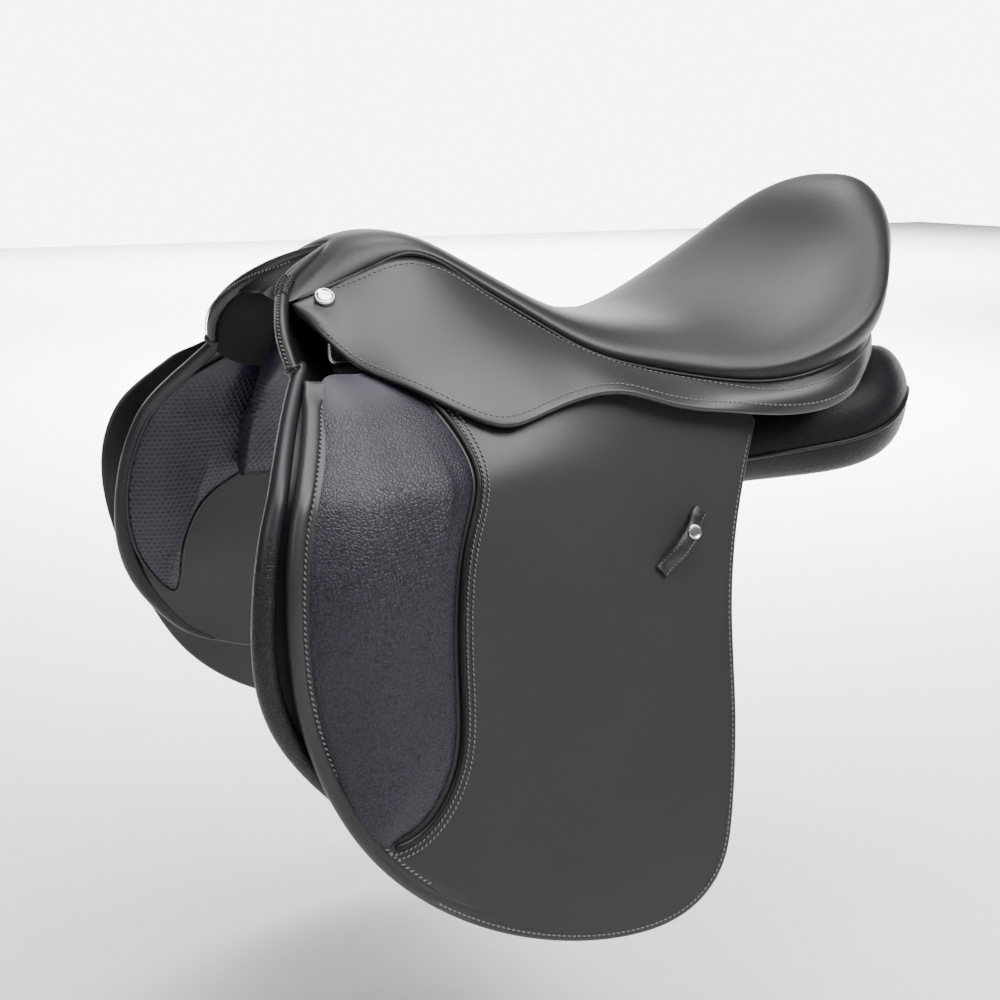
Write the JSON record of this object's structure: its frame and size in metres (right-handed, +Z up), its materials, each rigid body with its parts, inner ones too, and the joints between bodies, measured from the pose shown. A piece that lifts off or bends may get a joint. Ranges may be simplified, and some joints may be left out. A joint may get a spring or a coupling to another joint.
{
  "type": "english saddle",
  "caption": "General-purpose riding saddle with a deep seat, swept skirts, long flaps with padded knee rests, pommel arch, panels, stirrup bars and girth straps.",
  "frame": {"origin": "on the mirror plane, at the top of the horse's back under the lowest part of the seat", "axes": "horse faces -Y, its left (near) side is +X, +Z up"},
  "size_m": [0.437, 0.5426, 0.4455],
  "materials": {
    "seat_leather": "smooth matte synthetic leather",
    "flap_leather": "smooth matte synthetic leather",
    "pad_leather": "pebbled synthetic leather",
    "piping": "smooth black piping",
    "panel_cover": "pebbled cover with perforated mesh at the shoulder",
    "strap": "edge-coloured strap leather",
    "webbing": "woven polyester webbing",
    "foam": "closed-cell foam",
    "tree_plastic": "moulded nylon",
    "forged_steel": "zinc-plated forged steel",
    "bright_metal": "nickel plate, satin"
  },
  "bodies": {
    "saddle": {"catch_pin_left": "forged_steel", "catch_pin_right": "forged_steel", "dee_tab_left": "tree_plastic", "dee_tab_right": "tree_plastic", "front_roll_left": "pad_leather", "front_roll_right": "pad_leather", "girth_webs_left": "webbing", "girth_webs_right": "webbing", "gullet_lining": "panel_cover", "gullet_plate": "forged_steel", "gullet_screws": "forged_steel", "knee_block_left": "foam", "knee_block_right": "foam", "panel_left": "panel_cover", "panel_right": "panel_cover", "pommel_binding": "flap_leather", "seat_cover": "seat_leather", "seat_foam": "foam", "seat_webbing": "webbing", "seat_welt_left": "piping", "seat_welt_right": "piping", "skirt_button_left": "bright_metal", "skirt_button_right": "bright_metal", "skirt_left": "flap_leather", "skirt_right": "flap_leather", "stirrup_bar_left": "forged_steel", "stirrup_bar_right": "forged_steel", "stirrup_bar_rivets_left": "forged_steel", "stirrup_bar_rivets_right": "forged_steel", "sweat_flap_left": "pad_leather", "sweat_flap_right": "pad_leather", "tree": "tree_plastic"},
    "flap_left": {"flap_left": "flap_leather", "knee_pad_left": "pad_leather", "knee_pad_piping_left": "piping", "leather_keeper_left": "flap_leather", "keeper_button_left": "bright_metal"},
    "skirt_lobe_left": {"skirt_lobe_left": "flap_leather"},
    "stirrup_catch_left": {"stirrup_catch_left": "forged_steel"},
    "dee_ring_left": {"dee_ring_left": "bright_metal"},
    "girth_strap_front_left": {"girth_strap_front_left": "strap"},
    "girth_strap_middle_left": {"girth_strap_middle_left": "strap"},
    "girth_strap_rear_left": {"girth_strap_rear_left": "strap"},
    "flap_right": {"flap_right": "flap_leather", "knee_pad_right": "pad_leather", "knee_pad_piping_right": "piping", "leather_keeper_right": "flap_leather", "keeper_button_right": "bright_metal"},
    "skirt_lobe_right": {"skirt_lobe_right": "flap_leather"},
    "stirrup_catch_right": {"stirrup_catch_right": "forged_steel"},
    "dee_ring_right": {"dee_ring_right": "bright_metal"},
    "girth_strap_front_right": {"girth_strap_front_right": "strap"},
    "girth_strap_middle_right": {"girth_strap_middle_right": "strap"},
    "girth_strap_rear_right": {"girth_strap_rear_right": "strap"}
  },
  "joints": [
    {"name": "flap_lift_left", "type": "hinge", "parent": "saddle", "child": "flap_left", "pos_m": [0.108, -0.23, 0.071], "axis": [-0.0882, -0.9838, 0.1561], "range_deg": [0, 55]},
    {"name": "skirt_lift_left", "type": "hinge", "parent": "saddle", "child": "skirt_lobe_left", "pos_m": [0.071, -0.222, 0.096], "axis": [-0.3518, -0.9038, 0.2435], "range_deg": [0, 39]},
    {"name": "stirrup_catch_turn_left", "type": "hinge", "parent": "saddle", "child": "stirrup_catch_left", "pos_m": [0.0838, -0.104, 0.064], "axis": [1, 0, 0], "range_deg": [0, 90]},
    {"name": "dee_swing_left", "type": "hinge", "parent": "saddle", "child": "dee_ring_left", "pos_m": [0.0736, -0.203, 0.0815], "axis": [0, -1, 0], "range_deg": [0, 20]},
    {"name": "girth_strap_swing_front_left", "type": "hinge", "parent": "saddle", "child": "girth_strap_front_left", "pos_m": [0.13158, -0.118, 0.015], "axis": [0.9629, 0, 0.2698], "range_deg": [-3.5, 3.5]},
    {"name": "girth_strap_swing_middle_left", "type": "hinge", "parent": "saddle", "child": "girth_strap_middle_left", "pos_m": [0.1288, -0.07, 0.015], "axis": [0.9629, 0, 0.2698], "range_deg": [-3.5, 3.5]},
    {"name": "girth_strap_swing_rear_left", "type": "hinge", "parent": "saddle", "child": "girth_strap_rear_left", "pos_m": [0.12924, -0.022, 0.015], "axis": [0.9629, 0, 0.2698], "range_deg": [-3.5, 3.5]},
    {"name": "flap_lift_right", "type": "hinge", "parent": "saddle", "child": "flap_right", "pos_m": [-0.108, -0.23, 0.071], "axis": [-0.0882, 0.9838, -0.1561], "range_deg": [0, 55]},
    {"name": "skirt_lift_right", "type": "hinge", "parent": "saddle", "child": "skirt_lobe_right", "pos_m": [-0.071, -0.222, 0.096], "axis": [-0.3518, 0.9038, -0.2435], "range_deg": [0, 39]},
    {"name": "stirrup_catch_turn_right", "type": "hinge", "parent": "saddle", "child": "stirrup_catch_right", "pos_m": [-0.0838, -0.104, 0.064], "axis": [1, 0, 0], "range_deg": [0, 90]},
    {"name": "dee_swing_right", "type": "hinge", "parent": "saddle", "child": "dee_ring_right", "pos_m": [-0.0736, -0.203, 0.0815], "axis": [0, 1, 0], "range_deg": [0, 20]},
    {"name": "girth_strap_swing_front_right", "type": "hinge", "parent": "saddle", "child": "girth_strap_front_right", "pos_m": [-0.13158, -0.118, 0.015], "axis": [0.9629, 0, -0.2698], "range_deg": [-3.5, 3.5]},
    {"name": "girth_strap_swing_middle_right", "type": "hinge", "parent": "saddle", "child": "girth_strap_middle_right", "pos_m": [-0.1288, -0.07, 0.015], "axis": [0.9629, 0, -0.2698], "range_deg": [-3.5, 3.5]},
    {"name": "girth_strap_swing_rear_right", "type": "hinge", "parent": "saddle", "child": "girth_strap_rear_right", "pos_m": [-0.12924, -0.022, 0.015], "axis": [0.9629, 0, -0.2698], "range_deg": [-3.5, 3.5]}
  ],
  "couplings": [
    {"joint": "skirt_lift_left", "follows": "flap_lift_left", "ratio": 0.7},
    {"joint": "skirt_lift_right", "follows": "flap_lift_right", "ratio": 0.7}
  ]
}
